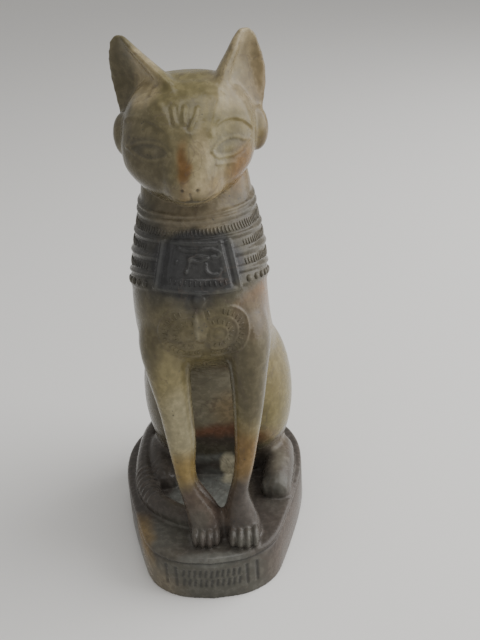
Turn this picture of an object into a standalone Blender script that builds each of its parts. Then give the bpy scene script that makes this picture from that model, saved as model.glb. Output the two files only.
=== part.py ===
"""A seated temple cat on a low rounded plinth, carved from one block of soft stone.

Metres, +Z up. The cat faces -Y and its left side is at +X.
The origin is the middle of the plinth's underside.
"""

import math

import bmesh
import bpy
import numpy as np

# Driving sizes of the block
FIGURE_HEIGHT = 0.138
PLINTH_HEIGHT = 0.0145
PLINTH_SIDE_MARGIN = 0.0035
PLINTH_FRONT_MARGIN = 0.0024
PLINTH_BACK_MARGIN = 0.0022
PLINTH_SIDE_OFFSET = 0.0016
PLINTH_EDGE_ROUND = 0.0013
PLINTH_GROOVE_DROP = 0.0020
PLINTH_GROOVE_WIDTH = 0.0007
PLINTH_GROOVE_DEPTH = 0.0005

# The inscription's place on the plinth's front: rows of plain strokes between two uprights
PANEL_WIDTH = 0.0205
PANEL_SIDE_OFFSET = 0.0018
PANEL_FOOT = 0.0040
PANEL_HEIGHT = 0.0066
UPRIGHT_GAP = 0.0029
STROKE_PITCH = 0.0016
STROKE_WIDTH = 0.0007
STROKE_DEPTH = 0.0004

# The carver's grid: one part is a 138th of the figure's height, and the cat is set out in parts,
# with z from the plinth's top
FIGURE_PARTS = 138
PART = FIGURE_HEIGHT / FIGURE_PARTS
HAUNCH_REACH = 25.2
PAW_REACH = 37.6
RUMP_REACH = 38.6

CLAY_VOXEL = 0.8
HEAD_VOXEL = 0.6
CARVING_VOXEL = 0.55
SOLE_DEPTH = 0.3
TRIANGLES = 9900
# The ornament is cut a little deeper than seen, as the facets soften it
CARVING_STRENGTH = 1.25


def smooth_rows(rows, count):
    """Rows of numbers, the first the station, read at evenly spread stations on a smooth curve."""
    rows = np.asarray(rows, float)
    station = rows[:, 0]
    slope = np.gradient(rows, station, axis=0)
    at = np.linspace(station[0], station[-1], count)
    low = np.clip(np.searchsorted(station, at, side="right") - 1, 0, len(rows) - 2)
    if station[0] > station[-1]:
        low = np.clip(np.searchsorted(-station, -at, side="right") - 1, 0, len(rows) - 2)
    span = (station[low + 1] - station[low])[:, None]
    t = ((at - station[low]) / (station[low + 1] - station[low]))[:, None]
    return (
        (2 * t**3 - 3 * t**2 + 1) * rows[low]
        + (t**3 - 2 * t**2 + t) * span * slope[low]
        + (3 * t**2 - 2 * t**3) * rows[low + 1]
        + (t**3 - t**2) * span * slope[low + 1]
    )


def smooth_step(value, start, end):
    t = np.clip((value - start) / (end - start), 0, 1)
    return t * t * (3 - 2 * t)


def swell(distance, reach):
    """A rounded ridge: one on its line, nothing past its reach."""
    return np.clip(1 - (distance / reach) ** 2, 0, None) ** 2


def to_line(u, v, line):
    """Distance of each point (u, v) from an open line of points."""
    best = np.full(u.shape, np.inf)
    for (au, av), (bu, bv) in zip(line, line[1:]):
        run = (bu - au) ** 2 + (bv - av) ** 2
        t = np.clip(((u - au) * (bu - au) + (v - av) * (bv - av)) / run, 0, 1)
        best = np.minimum(best, np.hypot(u - au - t * (bu - au), v - av - t * (bv - av)))
    return best


def mirrored(line):
    return [(-u, v) for u, v in line]


def add_rings(clay, rings):
    """A closed loft through rings of equally many points."""
    made = [[clay.verts.new(point) for point in ring] for ring in rings]
    for lower, upper in zip(made, made[1:]):
        for i in range(len(lower)):
            j = (i + 1) % len(lower)
            clay.faces.new((lower[i], lower[j], upper[j], upper[i]))
    clay.faces.new(made[0][::-1])
    clay.faces.new(made[-1])


def add_column(clay, rows, levels=40, sides=40):
    """A loft of level sections. A row is z, middle x, half width, front y, back y and squareness."""
    angle = np.linspace(0, 2 * math.pi, sides, endpoint=False)
    rings = []
    for z, x, half, front, back, square in smooth_rows(rows, levels):
        c, s = np.cos(angle), np.sin(angle)
        power = 2 / square
        ring_x = x + half * np.sign(c) * np.abs(c) ** power
        ring_y = (front + back) / 2 + (back - front) / 2 * np.sign(s) * np.abs(s) ** power
        rings.append(np.column_stack([ring_x, ring_y, np.full(sides, z)]))
    add_rings(clay, rings)


def add_roll(clay, rows, stations=24, sides=16):
    """A roll that runs along the ground. A row is its station, x, y, z, half width and half height."""
    line = smooth_rows(rows, stations)
    way = np.gradient(line[:, 1:3], axis=0)
    way /= np.linalg.norm(way, axis=1)[:, None]
    angle = np.linspace(0, 2 * math.pi, sides, endpoint=False)
    rings = []
    for (_, x, y, z, half, height), (way_x, way_y) in zip(line, way):
        across = half * np.cos(angle)
        rings.append(
            np.column_stack([x + way_y * across, y - way_x * across, z + height * np.sin(angle)])
        )
    add_rings(clay, rings)


def add_ball(clay, centre, radii, lean=0.0):
    """An ellipsoid. A positive lean tips its top forwards, in degrees."""
    made = bmesh.ops.create_uvsphere(clay, u_segments=32, v_segments=20, radius=1)["verts"]
    c, s = math.cos(math.radians(lean)), math.sin(math.radians(lean))
    for vert in made:
        x, y, z = (a * b for a, b in zip(vert.co, radii))
        vert.co = (centre[0] + x, centre[1] + y * c - z * s, centre[2] + y * s + z * c)


def add_ear(clay, side, turn, rows):
    """An ear as a bent leaf, turned outwards: level sections that curve round a shallow open hollow."""
    arc = np.linspace(0, math.pi, 19)
    c, s = math.cos(math.radians(turn)), math.sin(math.radians(turn))
    rings = []
    for z, outer, inner, middle_y, depth, wall, hollow in smooth_rows(rows, 30):
        width = outer - inner
        # The turned leaf still spans from its inner to its outer x
        chord = (width**2 - (depth * s) ** 2) / (2 * width)
        half = chord / c
        low, high = 0.8 * wall - half, half - max(0.45 * wall, 1.4)
        rims = (low + high) / 2 + (high - low) / 2 * np.cos(arc[::-1])
        along = np.concatenate([half * np.cos(arc), rims])
        behind = np.concatenate([depth * np.sin(arc), hollow * np.sin(arc)])
        x = (outer - chord + along * c - behind * s) * side
        y = middle_y + along * s + behind * c
        ring = np.column_stack([x, y, np.full(len(x), z)])
        rings.append(ring if side > 0 else ring[::-1])
    add_rings(clay, rings)


def torso_clay():
    """The trunk and the haunches that swell from its sides."""
    clay = bmesh.new()
    trunk = [
        (114, -0.2, 11.0, -9.0, 10.0, 2.0),
        (100, 0.3, 15.0, -14.4, 13.4, 2.0),
        (96, 0.3, 15.4, -17.4, 15.0, 2.0),
        (92, 0.3, 16.1, -20.5, 16.0, 2.1),
        (86, 0.2, 17.4, -24.0, 17.9, 2.1),
        (80, 0.0, 18.4, -26.8, 19.6, 2.2),
        (74, -0.3, 18.9, -28.9, 21.3, 2.4),
        (68, -0.4, 19.0, -29.8, 23.0, 2.5),
        (62, -0.3, 19.2, -28.6, 25.2, 2.5),
        (56, -0.2, 19.4, -24.6, 27.4, 2.4),
        (50, 0.0, 19.8, -17.5, 29.6, 2.2),
        (44, 0.2, 20.4, -11.5, 31.6, 2.2),
        (36, 0.6, 21.2, -7.6, 34.0, 2.2),
        (28, 0.8, 21.6, -5.0, 36.0, 2.3),
        (18, 0.9, 21.4, -2.6, 37.6, 2.4),
        (8, 0.8, 21.0, -0.4, RUMP_REACH, 2.5),
        (-3, 0.8, 20.6, 0.4, RUMP_REACH, 2.5),
    ]
    add_column(clay, trunk, levels=60, sides=56)
    add_ball(clay, (-10.8, 16.0, 25.0), (11.6, 20.5, 25.5), lean=10)
    add_ball(clay, (13.0, 14.0, 25.0), (HAUNCH_REACH - 13.0, 20.0, 25.5), lean=10)
    return clay


def legs_clay():
    """The forelegs, and the hind feet beside them."""
    clay = bmesh.new()
    right_leg = [
        (72, -10.0, 4.6, -23.0, -4.0, 2.0),
        (66, -10.3, 6.6, -26.6, -5.0, 2.0),
        (60, -10.6, 7.2, -28.0, -7.0, 2.1),
        (50, -10.0, 6.0, -28.3, -13.0, 2.1),
        (40, -8.9, 4.8, -28.4, -17.0, 2.1),
        (28, -8.0, 4.0, -28.8, -19.6, 2.1),
        (21, -7.4, 3.4, -29.4, -20.8, 2.1),
        (17, -6.8, 3.4, -30.0, -21.2, 2.1),
        (13, -5.0, 4.3, -31.0, -21.8, 2.1),
        (9, -3.6, 4.9, -31.9, -22.2, 2.1),
        (3, -2.9, 5.2, -33.4, -22.4, 2.2),
        (-3, -2.7, 5.2, -34.0, -22.0, 2.2),
    ]
    left_leg = [
        (72, 10.6, 4.6, -23.0, -4.0, 2.0),
        (66, 11.4, 6.2, -26.6, -5.0, 2.0),
        (60, 12.0, 6.7, -28.0, -7.0, 2.1),
        (50, 12.0, 5.4, -28.3, -13.0, 2.1),
        (40, 11.4, 4.4, -28.4, -17.0, 2.1),
        (28, 10.1, 3.3, -28.8, -19.6, 2.1),
        (21, 8.7, 3.0, -29.4, -20.8, 2.1),
        (17, 7.4, 3.0, -30.0, -21.2, 2.1),
        (13, 6.3, 3.4, -31.0, -21.8, 2.1),
        (9, 6.7, 4.4, -31.9, -22.2, 2.1),
        (3, 7.7, 5.4, -33.4, -22.4, 2.2),
        (-3, 7.9, 5.3, -34.0, -22.0, 2.2),
    ]
    for leg in (right_leg, left_leg):
        add_column(clay, leg, levels=36, sides=24)
    left_foot = [
        (0, 20.0, 12.0, 1.0, 5.0, 7.0),
        (1, 19.6, 3.0, 1.0, 5.2, 7.0),
        (2, 18.6, -6.0, 1.0, 4.9, 6.2),
        (3, 18.0, -11.5, 1.0, 4.4, 5.0),
        (4, 17.9, -13.6, 1.0, 2.6, 3.4),
    ]
    right_foot = [
        (0, -19.0, 16.0, 1.0, 5.0, 7.0),
        (1, -18.8, 9.0, 1.0, 5.0, 7.0),
        (2, -17.4, 1.0, 1.0, 4.8, 6.2),
        (3, -16.4, -4.0, 1.0, 4.4, 5.0),
        (4, -16.2, -6.2, 1.0, 2.6, 3.4),
    ]
    for foot in (left_foot, right_foot):
        add_roll(clay, foot)
    return clay


def head_clay():
    """The head's masses: skull and cheeks, the long nose, muzzle, ears and the lobes below them."""
    clay = bmesh.new()
    skull = [
        (95.5, -0.3, 7.0, -11.0, 9.0, 2.0),
        (98.5, -0.6, 10.8, -17.0, 10.5, 2.0),
        (102.0, -0.7, 14.2, -20.0, 11.5, 2.0),
        (105.5, -0.7, 16.8, -20.8, 12.2, 2.05),
        (109.5, -0.5, 17.8, -20.2, 12.6, 2.1),
        (113.5, -0.2, 17.8, -18.6, 12.6, 2.15),
        (117.5, 0.0, 17.3, -16.2, 12.4, 2.15),
        (121.5, 0.0, 15.6, -12.4, 11.4, 2.1),
        (125.0, 0.0, 12.6, -8.4, 9.4, 2.0),
        (127.2, 0.0, 9.4, -4.6, 6.8, 2.0),
        (128.2, 0.0, 5.6, -1.8, 4.2, 2.0),
    ]
    add_column(clay, skull, levels=36, sides=40)
    nose = [
        (97.8, -1.0, 4.2, -18.8, -6.0, 2.0),
        (99.4, -1.0, 6.6, -22.2, -6.0, 2.0),
        (101.4, -1.0, 8.0, -24.6, -6.0, 1.9),
        (103.6, -1.0, 8.2, -25.8, -6.0, 1.8),
        (105.6, -0.9, 8.4, -26.2, -6.0, 1.7),
        (107.6, -0.7, 8.8, -25.5, -6.0, 1.62),
        (110.0, -0.4, 9.2, -24.0, -6.0, 1.6),
        (113.5, -0.2, 10.0, -21.6, -6.0, 1.6),
        (117.5, 0.0, 10.4, -18.8, -5.0, 1.65),
        (121.5, 0.0, 10.4, -15.0, -4.0, 1.75),
        (125.0, 0.0, 9.0, -10.4, -3.0, 1.9),
        (127.0, 0.0, 6.0, -6.4, -2.0, 2.0),
    ]
    add_column(clay, nose, levels=32, sides=28)
    # z, outer x, inner x, middle y of the rim, depth, wall of the inner rim, depth of the hollow
    left_ear = [
        (110.0, 18.4, 5.5, -1.6, 8.0, 4.0, -1.6),
        (116.0, 19.9, 5.4, -1.6, 8.0, 4.2, -0.6),
        (120.0, 20.9, 5.8, -1.2, 7.8, 4.6, 0.4),
        (124.0, 21.4, 6.4, -0.6, 7.2, 4.8, 1.3),
        (128.5, 21.3, 8.0, 0.2, 6.2, 4.4, 1.8),
        (133.0, 20.2, 10.9, 1.2, 4.6, 3.4, 1.5),
        (136.4, 19.0, 13.0, 1.8, 3.2, 2.2, 0.8),
        (138.1, 17.7, 14.4, 2.0, 2.0, 1.3, 0.2),
    ]
    right_ear = [
        (110.0, 18.2, 4.2, -1.6, 8.0, 4.0, -1.6),
        (116.0, 19.2, 3.6, -1.6, 8.0, 4.4, -0.6),
        (120.0, 20.2, 2.8, -1.2, 7.8, 5.2, 0.4),
        (124.0, 20.9, 2.2, -0.6, 7.4, 6.2, 1.3),
        (127.0, 21.2, 3.2, -0.2, 6.8, 6.4, 1.8),
        (131.0, 21.2, 7.2, 0.8, 5.4, 4.8, 1.8),
        (134.5, 20.5, 11.4, 1.4, 4.0, 3.2, 1.2),
        (136.8, 19.6, 13.9, 1.8, 2.8, 2.0, 0.7),
        (138.1, 18.6, 15.4, 2.0, 2.0, 1.3, 0.2),
    ]
    for side, ear in ((1, left_ear), (-1, right_ear)):
        add_ear(clay, side, 46, ear)
        add_ball(clay, (side * 17.3, 2.2, 112.0), (3.8, 5.2, 6.4))
    return clay


def tail_and_toes():
    """The crisp low masses on the plinth: the tail round the right side, and four toes a paw."""
    clay = bmesh.new()
    tail = [
        (0, 6.0, 29.0, 2.0, 4.0, 4.6),
        (1, -4.0, 33.6, 2.0, 4.4, 5.2),
        (2, -14.0, 31.6, 2.0, 4.4, 5.2),
        (3, -21.0, 24.0, 2.0, 4.0, 5.0),
        (4, -23.2, 10.0, 1.6, 3.6, 4.6),
        (5, -22.6, -3.0, 1.2, 3.5, 4.2),
        (6, -19.4, -12.6, 1.0, 3.4, 4.0),
        (7, -13.8, -18.8, 1.0, 3.3, 3.8),
        (8, -8.0, -22.6, 1.0, 3.0, 3.6),
        (9, -4.6, -25.0, 1.0, 1.6, 2.4),
    ]
    add_roll(clay, tail, stations=60)
    for middle, front, spread in ((-2.9, -36.6, 2.0), (8.1, -37.4, 2.15)):
        for toe in (-1.5, -0.5, 0.5, 1.5):
            back = 0.6 * abs(toe)
            add_ball(
                clay,
                (middle + toe * spread, front + 4.2 + back, 2.0),
                (1.35, 4.4, 3.2),
                lean=-12,
            )
    for middle, front in ((17.9, -14.0), (-16.2, -6.6)):
        for toe in (-1.5, -0.5, 0.5, 1.5):
            back = 0.5 * abs(toe)
            add_ball(clay, (middle + toe * 1.9, front + 3.6 + back, 2.0), (1.5, 3.6, 2.7))
    return clay


def plinth_clay():
    """The plinth: wide and round behind, drawn in towards a bowed front."""
    half = HAUNCH_REACH * PART + PLINTH_SIDE_MARGIN
    front = -PAW_REACH * PART - PLINTH_FRONT_MARGIN
    back = RUMP_REACH * PART + PLINTH_BACK_MARGIN
    length = back - front
    # Shares of the half width and of the length from the front
    plan = [
        (0.00, 0.000),
        (0.28, 0.014),
        (0.46, 0.042),
        (0.60, 0.085),
        (0.69, 0.140),
        (0.78, 0.240),
        (0.87, 0.355),
        (0.95, 0.475),
        (1.00, 0.610),
        (0.97, 0.745),
        (0.82, 0.865),
        (0.48, 0.963),
        (0.00, 1.000),
    ]
    steps = np.linspace(0, len(plan) - 1, 61)
    way = smooth_rows([(i, *point) for i, point in enumerate(plan)], len(steps))[:, 1:]
    x = np.concatenate([way[:, 0], -way[-2:0:-1, 0]]) * half
    y = front + np.concatenate([way[:, 1], way[-2:0:-1, 1]]) * length
    outline = np.column_stack([x - PLINTH_SIDE_OFFSET, y]) / PART
    height = PLINTH_HEIGHT / PART
    soft = PLINTH_EDGE_ROUND / PART
    middle = np.array([0.0, (front + back) / 2 / PART])
    reach = np.linalg.norm(outline - middle, axis=1)[:, None]
    clay = bmesh.new()
    rings = []
    levels = [(-height, 0.35), (0.35 - height, 0.0), (-soft, 0.0)]
    for turn in (30, 60, 90):
        a = math.radians(turn)
        levels.append((-soft + soft * math.sin(a), soft * (1 - math.cos(a))))
    for z, inset in levels:
        ring = outline - (outline - middle) / reach * inset
        rings.append(np.column_stack([ring, np.full(len(ring), z)]))
    add_rings(clay, rings)
    return clay


def pressed(name, clay, tools):
    """The clay after the named modifiers, each given with its settings, as a new bmesh."""
    mesh = bpy.data.meshes.new(name)
    clay.to_mesh(mesh)
    clay.free()
    body = bpy.data.objects.new(name, mesh)
    bpy.context.scene.collection.objects.link(body)
    for kind, settings in tools:
        modifier = body.modifiers.new(kind.lower(), kind)
        for key, value in settings.items():
            setattr(modifier, key, value)
    evaluated = body.evaluated_get(bpy.context.evaluated_depsgraph_get())
    result = bmesh.new()
    result.from_mesh(evaluated.to_mesh())
    evaluated.to_mesh_clear()
    bpy.data.objects.remove(body)
    bpy.data.meshes.remove(mesh)
    return result


def joined(name, clays, voxel, rounds):
    """The clays pressed into one closed body and smoothed."""
    whole = bmesh.new()
    for clay in clays:
        piece = bpy.data.meshes.new(name)
        clay.to_mesh(piece)
        clay.free()
        whole.from_mesh(piece)
        bpy.data.meshes.remove(piece)
    bmesh.ops.recalc_face_normals(whole, faces=whole.faces)
    remesh = ("REMESH", {"mode": "VOXEL", "voxel_size": voxel, "adaptivity": 0})
    soften = ("SMOOTH", {"factor": 0.5, "iterations": rounds})
    return pressed(name, whole, [remesh, soften])


def flowing(points, count=14):
    """A smooth line through a few points of the carver's drawing."""
    return smooth_rows([(i, *point) for i, point in enumerate(points)], count)[:, 1:]


def face_relief(x, y, z, facing):
    """Brows, lidded eyes, forehead strokes, temple ridges, nostrils and mouth."""
    left_brow = [(5.4, 117.6), (8.0, 118.5), (10.8, 118.4), (13.4, 117.6), (15.6, 115.9), (17.2, 113.9)]
    right_brow = [(5.0, 117.0), (7.4, 118.5), (10.4, 119.2), (13.0, 119.3), (15.2, 118.6), (17.0, 117.2)]
    upper_lid = [(4.5, 112.3), (6.2, 113.8), (9.0, 114.4), (12.2, 114.1), (14.4, 113.0), (16.0, 112.4)]
    lower_lid = [(4.5, 112.3), (6.0, 110.9), (8.6, 110.3), (11.4, 110.3), (13.8, 111.3), (16.0, 112.4)]
    crease = [(5.5, 109.3), (8.2, 108.5), (10.9, 108.0)]
    temple = [(6.6, 122.8), (5.6, 121.6), (4.8, 119.4), (4.3, 116.6)]
    cut = np.zeros(x.shape)
    for side, brow in ((1, left_brow), (-1, right_brow)):
        u = x * side
        ledge = flowing(brow)
        above = z - np.interp(u, ledge[:, 0], ledge[:, 1])
        ends = smooth_step(u, 4.6, 6.4) * (1 - smooth_step(u, 16.4, 18.0))
        raised = smooth_step(above, -0.5, 0.2) * np.exp(-((above / 4.5) ** 2))
        cut += ends * (0.42 * raised + 0.2 * swell(above - 0.1, 0.7))
        cut -= 0.5 * swell(np.hypot((u - 10.2) / 8.0, (z - 112.6) / 4.4), 1.0)
        cut += 0.42 * swell(np.hypot((u - 9.8) / 4.4, (z - 112.4) / 2.0), 1.0)
        cut += 0.28 * swell(to_line(u, z, flowing(upper_lid)), 0.62)
        cut += 0.3 * swell(to_line(u, z, flowing(lower_lid)), 0.6)
        cut += 0.18 * swell(to_line(u, z, flowing(crease)), 0.6)
        cut += 0.3 * swell(to_line(u, z, flowing(temple)), 1.5)
    strokes = (
        [(-3.1, 122.0), (-2.9, 120.6), (-2.5, 119.1)],
        [(0.0, 122.3), (-0.3, 120.8), (-0.2, 119.3)],
        [(3.1, 121.9), (2.5, 120.2), (1.2, 118.3)],
    )
    for stroke in strokes:
        along = to_line(x, z, flowing(stroke, 6))
        cut += 0.26 * swell(along, 0.55) - 0.1 * swell(along - 0.95, 0.5)
    cut += 0.4 * swell(np.hypot((x + 1.2) / 3.6, (z - 105.6) / 2.2), 1.0)
    for side in (-1, 1):
        cut += 0.45 * swell(np.hypot((x + 1.0 - side * 3.5) / 3.4, (z - 102.5) / 2.3), 1.0)
        cut -= 0.6 * swell(np.hypot(x - side * 1.9 + 1.3, z - 104.3), 0.8)
    mouth = [(-6.6, 101.7), (-3.6, 100.6), (-1.1, 100.9), (1.6, 100.4), (4.6, 101.4)]
    cut -= 0.32 * swell(to_line(x, z, flowing(mouth)), 0.6)
    cut -= 0.5 * swell(to_line(x, z, [(-2.2, 100.7), (0.2, 100.6)]), 0.6)
    cut -= 0.35 * swell(to_line(x, z, [(-1.3, 103.6), (-1.1, 101.0)]), 0.5)
    return cut * facing * smooth_step(-y, 3, 6) * smooth_step(z, 97, 99)


def collar_place(x, y, z):
    """Angle round the neck from the front, and the share of the way down the collar."""
    angle = np.arctan2(x, -(y + 3.0))
    top = 94.5 + 1.3 * np.cos(angle)
    foot = 70.5 + 7.5 * np.cos(angle) + 2.5 * smooth_step(np.abs(angle), 1.8, math.pi)
    return angle, (top - z) / (top - foot)


def collar_relief(x, y, z):
    """A broad collar of rings, with a row of beads along its foot."""
    _, down = collar_place(x, y, z)
    cut = 0.3 * smooth_step(down, -0.02, 0.03) * (1 - smooth_step(down, 0.98, 1.01))
    for place, reach, height in (
        (0.05, 0.030, 0.30),
        (0.12, 0.040, 0.35),
        (0.35, 0.032, 0.32),
        (0.57, 0.042, 0.38),
        (0.80, 0.032, 0.32),
    ):
        cut += height * swell(down - place, reach)
    for place in (0.17, 0.31, 0.40, 0.51, 0.63, 0.75, 0.84):
        cut -= 0.16 * swell(down - place, 0.022)
    return cut


def pectoral_relief(x, z):
    """A hanging plate on the collar's front, a little askew, with its bars and a sacred eye."""
    z = z + 0.07 * x
    rise = np.clip((z - 77.0) / (89.4 - 77.0), 0, 1)
    half = 11.6 - 2.6 * rise
    x = x - 0.1 - 0.3 * rise
    inside = smooth_step(half - np.abs(x), -0.3, 0.3)
    inside = inside * smooth_step(z, 76.7, 77.2) * (1 - smooth_step(z, 89.1, 89.6))
    edge = half - np.abs(x)
    border = swell(edge - 0.6, 0.7) + swell(z - 77.6, 0.6) + swell(z - 88.9, 0.5)
    bars = swell(edge - 3.0, 0.6) * smooth_step(z, 80.2, 81.2)
    cut = 0.55 * inside
    cut += inside * (0.3 * np.clip(border, 0, 1) + 0.3 * bars)
    floor = smooth_step(edge, 3.5, 4.0) * smooth_step(z, 80.4, 80.9) * (1 - smooth_step(z, 88.0, 88.5))
    gap = smooth_step(edge, 1.3, 1.7) * (1 - smooth_step(edge, 2.2, 2.6)) * smooth_step(z, 78.2, 78.8)
    cut -= inside * (0.3 * floor + 0.3 * gap)
    lines = (
        [(-4.6, 87.9), (-2.8, 87.2), (0.3, 87.3), (3.0, 87.8), (5.2, 87.2), (6.0, 86.0), (4.2, 85.6)],
        [(-1.8, 85.5), (0.4, 86.1), (2.9, 85.6)],
        [(-1.8, 85.5), (0.4, 84.8), (2.9, 85.6)],
        [(2.4, 84.3), (2.5, 82.8), (3.8, 81.7), (5.6, 81.7), (6.3, 82.7)],
        [(-1.6, 84.9), (-2.0, 83.4), (-2.6, 82.4)],
    )
    for line in lines:
        cut += 0.36 * inside * swell(to_line(x, z, flowing(line, 10)), 0.55)
    for spot in ((-5.0, 84.4), (-2.6, 82.3)):
        cut += 0.36 * inside * swell(np.hypot(x - spot[0], z - spot[1]), 0.8)
    return cut, inside


def scarab_relief(x, z):
    """A winged beetle under a disc: ringed round wings, cut straight along their tops."""
    disc = np.clip(1 - np.hypot(x - 0.3, z - 75.4) ** 2 / 1.9**2, 0, None)
    back = np.clip(1 - ((x - 0.3) / 1.9) ** 2 - ((z - 68.6) / 5.2) ** 2, 0, None)
    cut = 0.7 * np.sqrt(disc) + 0.8 * np.sqrt(back)
    for side in (-1, 1):
        u = side * (x - 1.0)
        reach = np.hypot(u - 3.8, z - 66.2)
        wing = (1 - smooth_step(reach, 8.0, 8.5)) * smooth_step(u, 0.9, 1.5)
        wing = wing * (1 - smooth_step(z + 0.08 * (u - 6) ** 2 * (u > 6), 73.0, 73.5))
        cut += 0.3 * wing
        cut += 0.3 * wing * swell(reach, 1.7)
        for ring, height in ((2.2, 0.2), (5.0, 0.22), (7.9, 0.25)):
            cut += height * wing * swell(reach - ring, 0.5)
    return cut


def front_relief(x, y, z, facing):
    plate, under = pectoral_relief(x, z)
    beetle = scarab_relief(x, z) * smooth_step(z, 56, 58) * (1 - smooth_step(z, 77.3, 77.6))
    return (plate + beetle) * facing, under * facing


def low_relief(x, y, z):
    """Strokes of hair across the end of the tail."""
    along = y - 0.55 * x
    on_tail = smooth_step(-x, 17.0, 19.0) * smooth_step(z, 1.6, 2.6) * (1 - smooth_step(z, 6.5, 7.5))
    on_tail = on_tail * smooth_step(-y, -1.0, 2.0) * (1 - smooth_step(-y, 15.0, 17.0))
    return 0.35 * on_tail * (0.5 - 0.5 * np.cos(2 * math.pi * along / 2.6) - 0.5)


def plinth_relief(x, y, z, facing, side_facing):
    """The groove under the plinth's top edge, and the strokes on its front."""
    depth = PLINTH_GROOVE_DEPTH / PART
    cut = -depth * side_facing * swell(z + PLINTH_GROOVE_DROP / PART, PLINTH_GROOVE_WIDTH / PART)
    panel_half = PANEL_WIDTH / PART / 2
    foot = (PANEL_FOOT - PLINTH_HEIGHT) / PART
    head = foot + PANEL_HEIGHT / PART
    x = x + PANEL_SIDE_OFFSET / PART
    pitch = STROKE_PITCH / PART
    reach = STROKE_WIDTH / PART
    row_height = (head - foot) / 2
    marks = np.zeros(x.shape)
    for row in (0, 1):
        start = foot + row * row_height
        count = int(2 * panel_half / pitch - 1)
        for i in range(count):
            at = (i + 0.5 - count / 2) * pitch
            lean = 0.12 * pitch
            line = [(at - lean, start + 0.18 * row_height), (at + lean, start + 0.82 * row_height)]
            marks = np.maximum(marks, swell(to_line(x, z, line), reach))
    outer = panel_half + UPRIGHT_GAP / PART
    for at in (-outer, -panel_half, panel_half, outer):
        marks = np.maximum(marks, swell(to_line(x, z, [(at, foot), (at, head)]), reach))
    return cut - STROKE_DEPTH / PART * marks * facing


def carve(body):
    """Moves each point of the body along its normal by the depth of the carving there."""
    body.normal_update()
    co = np.array([vert.co for vert in body.verts])
    normal = np.array([vert.normal for vert in body.verts])
    x, y, z = co.T
    facing = smooth_step(-normal[:, 1], 0.15, 0.45)
    on_figure = smooth_step(z, 0.5, 1.5)
    plate, under = front_relief(x, y, z, facing)
    in_reach = (y < -8) & (z > 50) & (z < 96)
    plate = np.where(in_reach, plate, 0)
    under = np.where(in_reach, under, 0)
    shift = np.where(z > 97, face_relief(x, y, z, facing), 0)
    throat = 1 - smooth_step(z + 0.35 * np.clip(-y - 15, 0, None), 95, 97)
    shift += np.where(z < 99, collar_relief(x, y, z) * (1 - under) * throat, 0) + plate
    shift = CARVING_STRENGTH * shift * on_figure + low_relief(x, y, z)
    level = 1 - np.abs(normal[:, 2])
    shift += np.where(z < 0.2, plinth_relief(x, y, z, facing, smooth_step(level, 0.5, 0.9)), 0)
    co += normal * shift[:, None]
    # The underside stays a true plane
    sole = -PLINTH_HEIGHT / PART
    co[:, 2] = np.where(co[:, 2] < sole + SOLE_DEPTH, sole, co[:, 2])
    for vert, place in zip(body.verts, co):
        vert.co = place


def stone(name, colour, roughness):
    material = bpy.data.materials.new(name)
    material.use_nodes = True
    shader = material.node_tree.nodes["Principled BSDF"]
    shader.inputs["Base Color"].default_value = (*colour, 1)
    shader.inputs["Roughness"].default_value = roughness
    shader.inputs["Metallic"].default_value = 0
    return material


def settle(body):
    """Brings the carved body from parts to metres, standing flat on z = 0 over its middle."""
    co = np.array([vert.co for vert in body.verts]) * PART
    co[:, 2] += PLINTH_HEIGHT
    co[:, 2] = np.where(co[:, 2] < SOLE_DEPTH * PART, 0, co[:, 2])
    co[:, 2] *= (PLINTH_HEIGHT + FIGURE_HEIGHT) / co[:, 2].max()
    co[:, :2] -= (co[:, :2].min(axis=0) + co[:, :2].max(axis=0)) / 2
    for vert, place in zip(body.verts, co):
        vert.co = place


def main():
    for old in list(bpy.data.objects):
        bpy.data.objects.remove(old)
    collection = bpy.data.collections.new("seated_cat")
    bpy.context.scene.collection.children.link(collection)
    torso = joined("torso", [torso_clay()], CLAY_VOXEL, 40)
    soft = joined("soft_masses", [torso, legs_clay()], CLAY_VOXEL, 10)
    head = joined("head_masses", [head_clay()], HEAD_VOXEL, 14)
    body = joined("block", [soft, head, tail_and_toes(), plinth_clay()], CARVING_VOXEL, 2)
    carve(body)
    share = TRIANGLES / (2 * len(body.faces))
    body = pressed("thinned", body, [("DECIMATE", {"ratio": share})])
    settle(body)
    mesh = bpy.data.meshes.new("bastet_cat")
    body.to_mesh(mesh)
    body.free()
    mesh.materials.append(stone("carved_stone", (0.23, 0.19, 0.12), 0.42))
    mesh.shade_smooth()
    collection.objects.link(bpy.data.objects.new("bastet_cat", mesh))


main()
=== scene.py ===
"""A seated temple cat of olive and brown soft stone, carved in one with its plinth.

Metres, +Z up. The cat faces -Y and stands on a pale floor in soft light.
"""

import math

import bmesh
import bpy
import numpy as np
from mathutils import Matrix, Vector
from mathutils.bvhtree import BVHTree


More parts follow.
